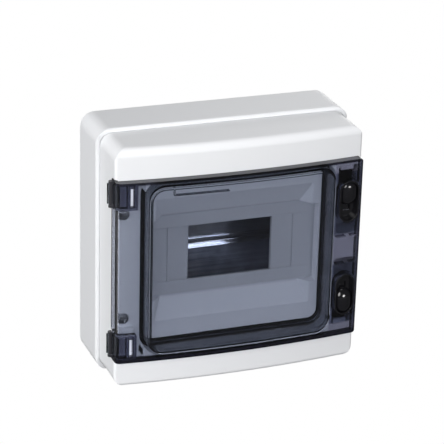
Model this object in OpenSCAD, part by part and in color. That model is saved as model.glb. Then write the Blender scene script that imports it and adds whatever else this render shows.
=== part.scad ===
// Weatherproof surface-mounted box with a smoked door over a module opening.
// Millimetres. X to the right, the front faces -Y, Z up.
// The origin is the centre of the back face, between the four wall holes.
// Depth means distance in front of the back face, so depth 10 is Y = -10.

/* [Back box] */
// Width of the back box
base_width = 215; // [200:1:230]
// Height of the back box
base_height = 210; // [200:1:220]
// Depth of the back box, wall to front rim
base_depth = 44.4; // [40:0.1:50]
// Corner radius of the back box
base_corner = 12; // [8:1:16]
// Rounding of the front rim
base_rim_round = 2.5; // [1:0.5:4]
// Thickness of the side walls
base_wall = 2.5; // [2:0.1:4]
// Thickness of the back wall
back_wall = 3; // [2:0.5:5]
// Width of the front ledge that carries the cover
ledge_width = 9; // [8:0.5:12]
// Thickness of the front ledge
ledge_depth = 4; // [3:0.5:6]

/* [Cover] */
// Step from the back box to the cover, all round
cover_step = 3.4; // [2:0.1:5]
// Corner radius of the cover
cover_corner = 10; // [6:1:14]
// Depth of the cover's front at its left and right edges
cover_edge_depth = 83.65; // [80:0.05:90]
// How far the front bows out at the middle
cover_bow = 6.17; // [0:0.01:10]
// Rounding along the top front edge
cover_top_round = 7; // [3:0.5:9]
// Rounding along the bottom front edge
cover_bottom_round = 3.5; // [2:0.5:6]
// Rounding along the left and right front edges
cover_side_round = 2.5; // [1:0.5:4]
// Wall thickness of the cover
cover_wall = 2.6; // [2:0.1:4]

/* [Window recess] */
// Depth of the module plate's face
plate_depth = 63; // [55:0.5:70]
// Thickness of the module plate
plate_wall = 2; // [1.5:0.1:3]
// Depth of the rim round the recess
rim_depth = 72.3; // [70:0.1:78]
// Half width of the recess
recess_half = 73; // [70:0.5:76]
// Half height of the flat module plate
flat_half = 34.5; // [30:0.5:40]
// Half height of the recess at the rim
slope_half = 52.7; // [45:0.1:60]
// Half width of the slopes at the plate
slope_end_plate = 59; // [50:0.5:65]
// Half width of the slopes at the rim
slope_end_rim = 67; // [60:0.5:72]
// Width of the module opening, four modules
opening_width = 72; // [54:18:108]
// Height of the module opening
opening_height = 47; // [45:0.5:50]
// Width of the whole module row, eight modules
row_width = 144; // [108:18:180]

/* [Door seal] */
// Half width of the seal channel, outside
channel_half_x = 81; // [78:0.1:84]
// Half height of the seal channel, outside
channel_half_z = 75.7; // [72:0.1:78]
// Half width of the seal channel, inside
channel_in_x = 74.5; // [72:0.1:78]
// Half height of the seal channel, inside
channel_in_z = 67.6; // [64:0.1:72]
// Depth of the channel's floor
channel_floor = 70; // [66:0.5:72]
// Thickness of the seal
seal_thick = 3.4; // [2:0.1:5]

/* [Door] */
// Left edge of the door
door_left = -104.8; // [-106:0.1:-100]
// Right edge of the door
door_right = 102.2; // [100:0.1:104.1]
// Lower edge of the door
door_low = -77.6; // [-85:0.1:-75]
// Upper edge of the door
door_high = 76.6; // [70:0.1:80]
// Height of the door's face above the cover
door_rise = 7.3; // [5:0.1:9]
// Wall thickness of the door
door_wall = 2.4; // [2:0.1:3]
// Gap between the door's edge and the cover
door_gap = 0.5; // [0.3:0.1:1]
// Rounding of the door's left edge
door_left_round = 4.5; // [2:0.5:6]
// Height of the window above the door's face
window_rise = 2.9; // [1:0.1:4]
// Left edge of the window
window_left = -78.6; // [-80:0.1:-74]
// Right edge of the window
window_right = 77; // [72:0.1:80]
// Lower edge of the window
window_low = -71; // [-74:0.1:-66]
// Upper edge of the window
window_high = 71.5; // [66:0.1:74]
// Corner radius of the window
window_corner = 12.5; // [8:0.5:16]

/* [Hinge strip] */
// Depth of the sunk strip on the hinge side, under the door
strip_depth = 76.4; // [74:0.1:80]
// Depth of the two pads that carry the hinges
pad_depth = 80; // [77:0.5:82]
// Inner end of a hinge pad, above and below the middle
pad_low = 52; // [50:0.5:56]
// Right edge of a hinge pad
pad_right = -87; // [-90:0.5:-84]

/* [Hinges] */
// X of the hinge axis
hinge_x = -105.9; // [-107:0.1:-105]
// Depth of the hinge axis
hinge_depth = 79; // [76:0.5:82]
// Radius of the hinge rod
rod_r = 1.65; // [1.4:0.05:2]
// Lower end of the upper hinge
hinge_low = 53.5; // [50:0.5:58]
// Length of a hinge
hinge_length = 22; // [18:1:26]
// Thickness of a hinge ear
ear_thick = 2; // [1.5:0.5:3]

/* [Latches] */
// X of the latch centres
latch_x = 91; // [88:0.5:94]
// Distance of the latch centres above and below the middle
latch_z = 41; // [38:0.5:44]
// Radius of the oval's ends
oval_r = 9; // [8:0.1:10]
// Length of the oval
oval_length = 36; // [32:0.5:40]
// Travel of a latch knob
latch_travel = 12; // [8:0.5:13]

/* [Fixings] */
// X of the cover screws
cover_screw_x = 94.5; // [90:0.5:97]
// Z of the cover screws
cover_screw_z = 45; // [40:0.5:60]
// Radius of a cover screw's head
head_r = 4.4; // [3.5:0.1:5]
// Spacing of the wall holes across
wall_hole_x = 160; // [120:5:170]
// Spacing of the wall holes up the box
wall_hole_z = 170; // [120:5:175]
// Radius of the wall holes
wall_hole_r = 2.75; // [2:0.25:3.5]

/* [Hidden] */
$fn = 64;
tiny = 0.01;
half_w = base_width / 2;
half_h = base_height / 2;
cover_half_w = half_w - cover_step;
cover_half_h = half_h - cover_step;
cover_low_depth = base_depth - 0.8;
mid_depth = cover_edge_depth + cover_bow;
bow_radius = (cover_half_w * cover_half_w + cover_bow * cover_bow) / (2 * cover_bow);
bow_y = bow_radius - mid_depth;
bow_sweep = 15;
front_limit = 110;
groove_floor = base_depth - 2.4;
groove_out = cover_step - 0.3;
groove_in = cover_step + cover_wall + 0.3;
channel_corner = 15;
well_wall = 2.2;
back_of_well = channel_floor - 2;
pillar_gap = 0.2;
split_x = (channel_half_x + channel_in_x) / 2;
split_z = (channel_half_z + channel_in_z) / 2;
split_corner = 11;
split_gap = 0.2;
plate_back = plate_depth - plate_wall;
seal_top = channel_floor + seal_thick;
skirt_tip = seal_top + 0.3;
hinge_mid = hinge_low + hinge_length / 2;
rebate_x = -101.5;
strip_wall = 2.4;
strip_end = 2.6;
strip_low = door_low + strip_end;
strip_high = door_high - strip_end;
left_seat = 74.6;
left_well_r = 4.8;
skirt_out_x = 78.6;
skirt_out_z = 72.6;
skirt_wall = 2.2;
label_left = -59.4;
label_right = -14.5;
label_low = 64;
label_rib = 0.8;
shutter_half = 4.2;
shutter_reach = 15.5;
hinge_pocket_x = -99.9;
hinge_pocket_depth = 74.3;
rib_low = -13.5;
rib_high = 10;
rod_gap = 0.07;
pocket_left = 83;
pocket_right = 100.5;
pocket_low = 11;
pocket_high = 70;
pocket_floor = 66;
pocket_mid = (pocket_low + pocket_high) / 2;
pocket_length = pocket_high - pocket_low;
keeper_low = 66;
keeper_length = pocket_high + 1 - keeper_low;
keeper_mid = keeper_low + keeper_length / 2;
keeper_half = 5.5;
keeper_depth = 82.9;
keeper_thick = 1.3;
washer_thick = 0.8;
head_thick = 3;
case_floor = 86.6;
case_wall = 1.2;
case_gap = 0.1;
knob_r = oval_r - case_gap - case_wall - 0.35;
knob_base = case_floor + case_wall + 0.3;
knob_high = oval_length / 2 - case_gap - case_wall - 0.35;
knob_low = knob_high - (oval_length - 2 * (case_gap + case_wall + 0.35) - latch_travel);
rail_seat = 8.5;
sheet_thick = 1.5;
sheet_half_x = 86;
sheet_half_z = 56;
post_top = rail_seat - sheet_thick;
rail_high = 7.5;
rail_sheet = 1;
rail_half = 75;
rail_screw_x = 65;
bar_z = 70;
bar_half = 50;
bar_seat = 22;
bar_thick = 6.5;
bar_high = 9;
leg_x = 46;
screw_pitch = 9;

// A flat shape drawn in X and Z, made solid between two depths.
module plate(near, far) {
  translate([0, -near, 0])
    rotate([90, 0, 0])
      linear_extrude(far - near) children();
}

// A rectangle with round corners, from its edges.
module round_rect(x0, x1, z0, z1, r) {
  translate([x0 + r, z0]) square([x1 - x0 - 2 * r, z1 - z0]);
  translate([x0, z0 + r]) square([x1 - x0, z1 - z0 - 2 * r]);
  for (x = [x0 + r, x1 - r])
    for (z = [z0 + r, z1 - r])
      translate([x, z]) circle(r);
}

// A plain rectangle, from its edges.
module rect(x0, x1, z0, z1) {
  translate([x0, z0]) square([x1 - x0, z1 - z0]);
}

// An upright oval about a centre.
module oval(x, z, r, length) {
  translate([x - r, z - length / 2 + r]) square([2 * r, length - 2 * r]);
  for (e = [-1, 1])
    translate([x, z + e * (length / 2 - r)]) circle(r);
}

// A cylinder that runs along the depth.
module round_bar(x, z, r, near, far) {
  translate([x, -near, z])
    rotate([90, 0, 0])
      cylinder(r = r, h = far - near);
}

// A shell that follows the bowed front, between two heights above it.
module bowed(low, high, z0, z1, top_r, bottom_r) {
  r0 = bow_radius + low;
  r1 = bow_radius + high;
  translate([0, bow_y, 0])
    rotate([0, 0, -90 - bow_sweep / 2])
      rotate_extrude(angle = bow_sweep, $fn = 360)
        union() {
          rect(r0, r1, z0 + bottom_r, z1 - top_r);
          rect(r0, r1 - max(top_r, bottom_r), z0, z1);
          if (top_r > 0)
            translate([r1 - top_r, z1 - top_r]) circle(top_r, $fn = 64);
          if (bottom_r > 0)
            translate([r1 - bottom_r, z0 + bottom_r]) circle(bottom_r, $fn = 64);
          if (bottom_r < top_r)
            rect(r0, r1 - bottom_r, z0, z0 + bottom_r);
        }
}

// A plan outline in X and depth, carried up the whole height.
module upright(z0, z1) {
  translate([0, 0, z1])
    rotate([180, 0, 0])
      linear_extrude(z1 - z0) children();
}

// Depth of the seat of a cover screw, on the hinge side (-1) or the latch side (1).
function screw_seat(x) = x < 0 ? left_seat : pocket_floor;

// The base's outside, with its front rim rounded.
module base_outside() {
  r = base_rim_round;
  intersection() {
    plate(0, base_depth)
      round_rect(-half_w, half_w, -half_h, half_h, base_corner);
    upright(-half_h - 1, half_h + 1)
      union() {
        rect(-half_w, half_w, -1, base_depth - r);
        rect(-half_w + r, half_w - r, -1, base_depth + 1);
        for (s = [-1, 1])
          translate([s * (half_w - r), base_depth - r]) circle(r);
      }
    rotate([0, 0, 90])
      rotate([90, 0, 0])
        translate([0, 0, -half_w - 1])
          linear_extrude(base_width + 2)
            union() {
              rect(-base_depth + r, 1, -half_h, half_h);
              rect(-base_depth - 1, 1, -half_h + r, half_h - r);
              for (s = [-1, 1])
                translate([-base_depth + r, s * (half_h - r)]) circle(r);
            }
  }
}

// The back box: walls, ledge, cover-screw pillars, rail posts and wall holes.
module base() {
  inner = base_wall;
  color([0.86, 0.87, 0.88])
    difference() {
      union() {
        difference() {
          base_outside();
          plate(back_wall, base_depth - ledge_depth)
            round_rect(-half_w + inner, half_w - inner, -half_h + inner,
              half_h - inner, base_corner - inner);
          plate(base_depth - ledge_depth - tiny, base_depth + 1)
            round_rect(-half_w + ledge_width, half_w - ledge_width,
              -half_h + ledge_width, half_h - ledge_width, 4);
        }
        for (x = [-1, 1])
          for (z = [-1, 1]) {
            round_bar(x * cover_screw_x, z * cover_screw_z, 5, back_wall - 1,
              base_depth);
            round_bar(x * wall_hole_x / 2, z * wall_hole_z / 2, 7, back_wall - 1, 8);
          }
        for (x = [-1, 1])
          plate(back_wall - 1, post_top)
            round_rect(x * rail_screw_x - 7, x * rail_screw_x + 7, -12, 12, 2);
      }
      plate(groove_floor, base_depth + 1)
        difference() {
          round_rect(-half_w + groove_out, half_w - groove_out,
            -half_h + groove_out, half_h - groove_out, base_corner - groove_out);
          round_rect(-half_w + groove_in, half_w - groove_in,
            -half_h + groove_in, half_h - groove_in, 5);
        }
      for (x = [-1, 1])
        for (z = [-1, 1]) {
          round_bar(x * cover_screw_x, z * cover_screw_z, 2.05, 18, base_depth);
          round_bar(x * wall_hole_x / 2, z * wall_hole_z / 2, wall_hole_r, -1, 9);
          round_bar(x * wall_hole_x / 2, z * wall_hole_z / 2, 5.2, 5, 9);
        }
      for (x = [-1, 1]) {
        round_bar(x * rail_screw_x, 0, 1.85, back_wall, rail_seat + 1);
        for (z = [-1, 1])
          round_bar(x * leg_x, z * bar_z, 1.55, 1, back_wall + 1);
      }
      for (x = [-60, -20, 20, 60])
        translate([x, -24, -half_h - 1])
          difference() {
            cylinder(r = 11, h = 1.8);
            cylinder(r = 10.2, h = 1.8);
          }
    }
}

// The soft ring in the base's groove, under the cover's edge.
module rim_seal() {
  out = groove_out + 0.15;
  inn = groove_in - 0.15;
  color([0.6, 0.61, 0.62])
    plate(groove_floor, cover_low_depth)
      difference() {
        round_rect(-half_w + out, half_w - out, -half_h + out, half_h - out,
          base_corner - out);
        round_rect(-half_w + inn, half_w - inn, -half_h + inn, half_h - inn, 5);
      }
}

// The cover's outside, or its inside when inset by a wall.
module cover_form(inset, low_depth) {
  w = cover_half_w - inset;
  h = cover_half_h - inset;
  side_r = max(cover_side_round - inset, 0.5);
  corner_depth = cover_edge_depth - inset + 0.29;
  intersection() {
    plate(low_depth, front_limit)
      round_rect(-w, w, -h, h, cover_corner - inset);
    bowed(-60, -inset, -h, h, cover_top_round - inset,
      max(cover_bottom_round - inset, 0.5));
    upright(-half_h, half_h)
      union() {
        rect(-w, w, 30, corner_depth - side_r);
        rect(-w + side_r, w - side_r, 30, front_limit);
        for (s = [-1, 1])
          translate([s * (w - side_r), corner_depth - side_r]) circle(side_r);
      }
  }
}

// Solid lumps inside the cover that its recess, pockets and wells are cut from.
module cover_lumps() {
  plate(back_of_well, front_limit)
    round_rect(-channel_half_x - well_wall, channel_half_x + well_wall,
      -channel_half_z - well_wall, channel_half_z + well_wall,
      channel_corner + well_wall);
  plate(plate_back, channel_floor)
    rect(-channel_in_x, channel_in_x, -slope_half - 2, slope_half + 2);
  for (z = [-1, 1]) {
    plate(pocket_floor - 2, front_limit)
      rect(pocket_left - 2, pocket_right + 3, z * pocket_mid - pocket_length / 2 - 2,
        z * pocket_mid + pocket_length / 2 + 2);
    for (x = [-1, 1])
      round_bar(x * cover_screw_x, z * cover_screw_z, 5, base_depth + pillar_gap,
        screw_seat(x));
    round_bar(-cover_screw_x, z * cover_screw_z, 7, left_seat - 4, strip_depth);
    plate(hinge_pocket_depth - strip_wall, front_limit)
      rect(-half_w, hinge_pocket_x + strip_wall, z * hinge_mid - hinge_length / 2 - 3,
        z * hinge_mid + hinge_length / 2 + 3);
  }
  plate(strip_depth - strip_wall, front_limit)
    rect(-half_w, -channel_half_x, strip_low - strip_wall, strip_high + strip_wall);
  plate(strip_depth - strip_wall, front_limit)
    rect(-half_w, rebate_x + strip_wall, door_low - 3, door_high + 3);
}

// The hollow over the sunk hinge strip, less the two hinge pads.
module strip_hollow() {
  plate(strip_depth, front_limit)
    rect(-half_w, rebate_x, door_low - 0.6, door_high + 0.6);
  plate(pad_depth, front_limit)
    rect(rebate_x - 1, -channel_half_x + 1, strip_low, strip_high);
  plate(strip_depth, pad_depth + tiny)
    difference() {
      rect(rebate_x - 1, -channel_half_x + 1, strip_low, strip_high);
      for (z = [pad_low, strip_low - 1])
        rect(hinge_pocket_x, pad_right, z, z + strip_high - pad_low + 2);
    }
}

// A sloped hollow above or below the module plate.
module hopper(side) {
  intersection() {
    upright(-half_h, half_h)
      polygon([[-slope_end_plate, plate_depth], [slope_end_plate, plate_depth],
        [slope_end_rim, rim_depth], [slope_end_rim, rim_depth + 5],
        [-slope_end_rim, rim_depth + 5], [-slope_end_rim, rim_depth]]);
    rotate([90, 0, -90])
      translate([0, 0, -recess_half])
        linear_extrude(2 * recess_half)
          polygon([[plate_depth, side * (flat_half - 1)], [plate_depth, side * flat_half],
            [rim_depth, side * slope_half], [rim_depth + 5, side * slope_half],
            [rim_depth + 5, side * (flat_half - 1)]]);
  }
}

// The hollow behind a slope, which keeps the wall thin.
module behind_slope(side) {
  rotate([90, 0, -90])
    translate([0, 0, -57])
      linear_extrude(114)
        polygon([[plate_back - 1, side * (flat_half + 4)], [plate_back, side * (flat_half + 4)],
          [back_of_well, side * (slope_half - 4.2)], [back_of_well, side * slope_half],
          [plate_back - 1, side * slope_half]]);
}

// Cover and tray in one: bowed front, channel, module plate, pockets and hinge strip.
module cover_body() {
  difference() {
    union() {
      difference() {
        cover_form(0, cover_low_depth);
        cover_form(cover_wall, cover_low_depth - 1);
      }
      intersection() {
        cover_form(1, cover_low_depth);
        cover_lumps();
      }
    }
    plate(channel_floor, front_limit)
      difference() {
        round_rect(-channel_half_x, channel_half_x, -channel_half_z, channel_half_z,
          channel_corner);
        round_rect(-channel_in_x, channel_in_x, -channel_in_z, channel_in_z,
          channel_corner - 7);
      }
    plate(rim_depth, front_limit)
      rect(-channel_in_x - 1, channel_in_x + 1, -channel_in_z - 1, channel_in_z + 1);
    plate(plate_depth, front_limit)
      rect(-recess_half, recess_half, -flat_half, flat_half);
    for (side = [-1, 1]) {
      hopper(side);
      behind_slope(side);
    }
    plate(plate_back - 2, front_limit)
      rect(-row_width / 2, row_width / 2, -opening_height / 2, opening_height / 2);
    for (z = [-1, 1]) {
      plate(pocket_floor, front_limit)
        round_rect(pocket_left, pocket_right, z * pocket_mid - pocket_length / 2,
          z * pocket_mid + pocket_length / 2, 2.5);
      round_bar(-cover_screw_x, z * cover_screw_z, left_well_r, left_seat, front_limit);
      for (x = [-1, 1])
        round_bar(x * cover_screw_x, z * cover_screw_z, 2.2, base_depth - 2,
          screw_seat(x) + 1);
      plate(hinge_pocket_depth, front_limit)
        rect(-half_w, hinge_pocket_x, z * hinge_mid - hinge_length / 2 - 0.6,
          z * hinge_mid + hinge_length / 2 + 0.6);
    }
    strip_hollow();
  }
}

// The line in the channel's floor where the tray meets the cover, less a gap.
module split_prism(gap) {
  plate(cover_low_depth, front_limit)
    round_rect(-split_x - gap, split_x + gap, -split_z - gap, split_z + gap,
      split_corner);
}

// The cover: bowed frame with pockets, hinge strip and the two keepers for the bolts.
module cover() {
  color([0.92, 0.93, 0.94])
    union() {
      difference() {
        cover_body();
        split_prism(split_gap);
      }
      for (z = [-1, 1])
        plate(keeper_depth, keeper_depth + keeper_thick)
          rect(latch_x - keeper_half, latch_x + keeper_half,
            z * keeper_mid - keeper_length / 2, z * keeper_mid + keeper_length / 2);
    }
}

// The tray that snaps into the cover: sunk module plate, its slopes and the seal's inner wall.
module module_tray() {
  color([0.92, 0.93, 0.94])
    intersection() {
      cover_body();
      split_prism(0);
    }
}

// A snap-in strip that closes two module places, with a score line between them.
module blank(side) {
  x0 = opening_width / 2;
  x1 = row_width / 2 - 0.15;
  h = opening_height / 2 - 0.15;
  color([0.9, 0.91, 0.92])
    difference() {
      union() {
        plate(plate_back - 0.4, plate_depth)
          rect(side > 0 ? x0 : -x1, side > 0 ? x1 : -x0, -h, h);
        plate(plate_back - 1.6, plate_back)
          rect(side > 0 ? x0 : -x1, side > 0 ? x1 : -x0, -h - 1.5, h + 1.5);
      }
      plate(plate_depth - 0.7, plate_depth + 1)
        rect(side * 54 - 0.4, side * 54 + 0.4, -h - 1, h + 1);
    }
}

// The soft black ring in the cover's channel.
module door_seal() {
  color([0.05, 0.05, 0.06])
    plate(channel_floor, seal_top)
      difference() {
        round_rect(-channel_half_x + 0.2, channel_half_x - 0.2, -channel_half_z + 0.2,
          channel_half_z - 0.2, channel_corner - 0.2);
        round_rect(-channel_in_x - 0.2, channel_in_x + 0.2, -channel_in_z - 0.2,
          channel_in_z + 0.2, channel_corner - 7);
      }
}

// The door's outline, less an inset.
module door_outline(inset) {
  round_rect(door_left + inset, door_right - inset, door_low + inset,
    door_high - inset, max(2.5 - inset, 0.4));
}

// The window's outline, less an inset.
module window_outline(inset) {
  round_rect(window_left + inset, window_right - inset, window_low + inset,
    window_high - inset, window_corner - inset);
}

// The door's curved skin between two heights, with its left edge rounded off.
module door_skin(low, high) {
  r = door_left_round;
  edge_front = cover_edge_depth + door_rise + 0.44;
  intersection() {
    bowed(low, high, door_low - 5, door_high + 5, 0, 0);
    upright(-half_h, half_h)
      union() {
        rect(door_left + r, half_w, 60, front_limit);
        rect(door_left, half_w, 60, edge_front - r);
        translate([door_left + r, edge_front - r]) circle(r);
      }
    children();
  }
}

// The frame and hook that make one side of a hinge on the door.
module door_hinge(side) {
  z0 = side * hinge_mid - hinge_length / 2;
  z1 = side * hinge_mid + hinge_length / 2;
  door_skin(door_gap + 0.3, door_rise - 1)
    plate(60, front_limit)
      difference() {
        rect(-103.5, -88, z0, z1);
        rect(-101.5, -95.5, z0 + 1.8, z1 - 1.8);
        rect(-94, -90, z0 + 1.8, z1 - 1.8);
      }
  translate([hinge_x, -hinge_depth, z0 + ear_thick + 0.5])
    rotate_extrude(angle = 210, start = -60, $fn = 64)
      translate([rod_r + rod_gap, 0])
        square([1.5, hinge_length - 2 * ear_thick - 1]);
}

// The smoked door: bowed face, edge walls, raised window with two thin label ribs inside,
// seal skirt, hinge hooks and latch ovals.
module door() {
  color([0.25, 0.27, 0.34, 0.6])
    difference() {
      union() {
        door_skin(door_rise - door_wall, door_rise)
          plate(60, front_limit) door_outline(0);
        door_skin(door_gap, door_rise)
          plate(60, front_limit)
            difference() {
              door_outline(0);
              rect(door_left - 1, door_right - door_wall, door_low + door_wall,
                door_high - door_wall);
            }
        door_skin(-9, door_rise)
          plate(77, front_limit)
            rect(door_left, door_left + door_wall, door_low, door_high);
        intersection() {
          bowed(door_rise - door_wall, door_rise + window_rise, window_low - 5,
            window_high + 5, 0, 0);
          plate(60, front_limit) window_outline(0);
        }
        intersection() {
          bowed(-30, door_rise - 1, window_low - 5, window_high + 5, 0, 0);
          plate(skirt_tip, front_limit)
            difference() {
              round_rect(-skirt_out_x, skirt_out_x, -skirt_out_z, skirt_out_z,
                window_corner);
              round_rect(-skirt_out_x + skirt_wall, skirt_out_x - skirt_wall,
                -skirt_out_z + skirt_wall, skirt_out_z - skirt_wall,
                window_corner - skirt_wall);
            }
        }
        for (side = [-1, 1]) {
          door_hinge(side);
          intersection() {
            bowed(door_gap + 0.8, door_rise + 0.6, -90, 90, 0, 0);
            plate(60, front_limit) oval(latch_x, side * latch_z, oval_r + 1.3,
              oval_length + 2.6);
          }
        }
        for (z = [rib_low, rib_high])
          door_skin(door_gap + 0.3, door_rise - 1)
            plate(60, front_limit)
              union() {
                rect(82, 90, z - 0.5, z + 0.5);
                rect(94.5, 100, z - 0.5, z + 0.5);
              }
      }
      intersection() {
        bowed(-40, door_rise + window_rise - door_wall, window_low - 5,
          window_high + 5, 0, 0);
        plate(60, front_limit)
          difference() {
            round_rect(window_left + 2.3, window_right - 2.3, window_low + 2.3,
              window_high - 2.3, window_corner - 2.3);
            rect(label_left, label_right, label_low, label_low + label_rib);
            rect(label_left, label_left + label_rib, label_low, window_high);
          }
      }
      for (side = [-1, 1]) {
        z0 = side * hinge_mid - hinge_length / 2;
        z1 = side * hinge_mid + hinge_length / 2;
        plate(60, front_limit) oval(latch_x, side * latch_z, oval_r, oval_length);
        plate(60, front_limit) rect(-94, -91.4, z0 + 3.5, z1 - 3.5);
        translate([hinge_x, -hinge_depth, z0 - 0.5])
          cylinder(r = rod_r + rod_gap, h = hinge_length + 1);
        for (z = [z0 - 0.5, z1 - ear_thick - 0.5])
          plate(60, 83)
            rect(-half_w - 5, -99, z, z + ear_thick + 1);
      }
    }
}

// One hinge: a plate on the cover, two ears and the rod that the door hooks on.
module hinge(side) {
  z0 = side * hinge_mid - hinge_length / 2;
  z1 = side * hinge_mid + hinge_length / 2;
  color([0.2, 0.2, 0.22]) {
    plate(hinge_pocket_depth + 0.2, 81.5)
      rect(rebate_x, hinge_pocket_x, z0, z1);
    for (z = [z0, z1 - ear_thick]) {
      upright(z, z + ear_thick)
        rect(hinge_x, rebate_x + 0.5, hinge_depth - 2.1, hinge_depth + 2.1);
      translate([hinge_x, -hinge_depth, z]) cylinder(r = 2.1, h = ear_thick);
    }
    translate([hinge_x, -hinge_depth, z0]) cylinder(r = rod_r, h = hinge_length);
  }
}

// The black oval cup in the door that a latch knob slides in.
module latch_case(side) {
  slot_high = (knob_high + knob_low) / 2 + 3;
  color([0.04, 0.04, 0.05])
    difference() {
      intersection() {
        bowed(-20, door_rise + 0.9, -90, 90, 0, 0);
        plate(case_floor, front_limit)
          oval(latch_x, side * latch_z, oval_r - case_gap,
            oval_length - 2 * case_gap);
      }
      plate(case_floor + case_wall, front_limit)
        oval(latch_x, side * latch_z, oval_r - case_gap - case_wall,
          oval_length - 2 * (case_gap + case_wall));
      plate(case_floor - 1, case_floor + case_wall + 1)
        rect(latch_x - 3, latch_x + 3,
          side * latch_z + (side > 0 ? slot_high - 6 - latch_travel - 0.5 : -slot_high - 0.5),
          side * latch_z + (side > 0 ? slot_high + 0.5 : 6 + latch_travel - slot_high + 0.5));
    }
}

// A sliding latch: domed knob, stem, shutter behind the slot, and the keeper's bolt.
module latch(side) {
  mid = side * (latch_z + (knob_high + knob_low) / 2);
  length = knob_high - knob_low;
  color([0.03, 0.03, 0.04]) {
    plate(knob_base, knob_base + 1.6) oval(latch_x, mid, knob_r, length);
    intersection() {
      plate(knob_base + 1.5, front_limit) oval(latch_x, mid, knob_r, length);
      translate([latch_x, -knob_base + 7, mid]) sphere(r = 13);
    }
    plate(82.4, knob_base + 0.5)
      rect(latch_x - 2.6, latch_x + 2.6, mid - 3, mid + 3);
    plate(84.9, 85.9)
      rect(latch_x - shutter_half, latch_x + shutter_half,
        side > 0 ? mid - shutter_reach : mid - 4,
        side > 0 ? mid + 4 : mid + shutter_reach);
    plate(79, 82.5)
      rect(latch_x - 5, latch_x + 5, side > 0 ? mid - 4 : -keeper_low + 0.3,
        side > 0 ? keeper_low - 0.3 : mid + 4);
  }
}

// The four long screws that hold the cover on the base.
module cover_screws() {
  color([0.75, 0.76, 0.78])
    for (x = [-1, 1])
      for (z = [-1, 1]) {
        seat = screw_seat(x) + washer_thick;
        difference() {
          union() {
            round_bar(x * cover_screw_x, z * cover_screw_z, 2, 20, seat + 1);
            round_bar(x * cover_screw_x, z * cover_screw_z, head_r, seat,
              seat + head_thick);
          }
          plate(seat + 1.6, seat + head_thick + 1)
            translate([x * cover_screw_x, z * cover_screw_z]) {
              square([5.2, 1], center = true);
              square([1, 5.2], center = true);
            }
        }
      }
}

// The sealing washers under the cover screws' heads.
module screw_washers() {
  color([0.1, 0.1, 0.1])
    for (x = [-1, 1])
      for (z = [-1, 1])
        difference() {
          round_bar(x * cover_screw_x, z * cover_screw_z, head_r + 0.2, screw_seat(x),
            screw_seat(x) + washer_thick);
          round_bar(x * cover_screw_x, z * cover_screw_z, 2.1, screw_seat(x) - 1,
            screw_seat(x) + washer_thick + 1);
        }
}

// The top-hat rail for the modules.
module din_rail() {
  color([0.6, 0.62, 0.65])
    difference() {
      rotate([90, 0, -90])
        translate([0, 0, -rail_half])
          linear_extrude(2 * rail_half)
            union() {
              rect(rail_seat, rail_seat + rail_sheet, -13.5, 13.5);
              for (s = [-1, 1]) {
                rect(rail_seat, rail_seat + rail_high, s * 13 - 0.5, s * 13 + 0.5);
                rect(rail_seat + rail_high - rail_sheet, rail_seat + rail_high,
                  s * 15 - 2.5, s * 15 + 2.5);
              }
            }
      for (x = [-1, 1])
        plate(rail_seat - 1, rail_seat + 3)
          union() {
            rect(x * rail_screw_x - 5, x * rail_screw_x + 5, -2.6, 2.6);
            for (e = [-1, 1])
              translate([x * rail_screw_x + e * 5, 0]) circle(2.6);
          }
    }
}

// The sheet steel plate behind the rail.
module back_plate() {
  color([0.55, 0.56, 0.58])
    plate(post_top, rail_seat)
      difference() {
        round_rect(-sheet_half_x, sheet_half_x, -sheet_half_z, sheet_half_z, 4);
        for (x = [-1, 1])
          translate([x * rail_screw_x, 0]) circle(2.2);
      }
}

// The two screws that hold the rail.
module rail_screws() {
  seat = rail_seat + rail_sheet;
  color([0.75, 0.76, 0.78])
    for (x = [-1, 1])
      difference() {
        union() {
          round_bar(x * rail_screw_x, 0, 1.8, back_wall + 0.5, seat + 1);
          round_bar(x * rail_screw_x, 0, 4, seat, seat + 2.6);
        }
        plate(seat + 1.4, seat + 4)
          translate([x * rail_screw_x, 0]) {
            square([5, 1], center = true);
            square([1, 5], center = true);
          }
      }
}

// The insulating holder under a terminal bar: two legs and a tie between them.
module bar_holder(side) {
  color(side > 0 ? [0.1, 0.3, 0.6] : [0.15, 0.5, 0.25])
    difference() {
      union() {
        for (x = [-1, 1]) {
          plate(back_wall, bar_seat)
            rect(x * leg_x - 4, x * leg_x + 4, side * bar_z - 5, side * bar_z + 5);
          plate(back_wall, back_wall + 3)
            rect(x * leg_x - 4, x * leg_x + 4, side * bar_z - 9, side * bar_z + 9);
        }
        plate(bar_seat - 3, bar_seat)
          rect(-leg_x, leg_x, side * bar_z - 5, side * bar_z + 5);
      }
      for (x = [-1, 1])
        round_bar(x * leg_x, side * bar_z, 1.6, back_wall - 1, bar_seat + 1);
    }
}

// A brass bar with a row of wire holes and clamping-screw holes.
module terminal_bar(side) {
  count = 9;
  color([0.8, 0.65, 0.3])
    difference() {
      plate(bar_seat, bar_seat + bar_thick)
        rect(-bar_half, bar_half, side * bar_z - bar_high / 2,
          side * bar_z + bar_high / 2);
      for (i = [0 : count - 1])
        translate([(i - (count - 1) / 2) * screw_pitch, 0, 0]) {
          round_bar(0, side * bar_z, 1.75, bar_seat - 1, bar_seat + bar_thick + 1);
          translate([0, -bar_seat - 2.6, side * bar_z - bar_high])
            cylinder(r = 2, h = 2 * bar_high);
        }
      for (x = [-1, 1])
        round_bar(x * leg_x, side * bar_z, 1.6, bar_seat - 1,
          bar_seat + bar_thick + 1);
    }
}

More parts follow.
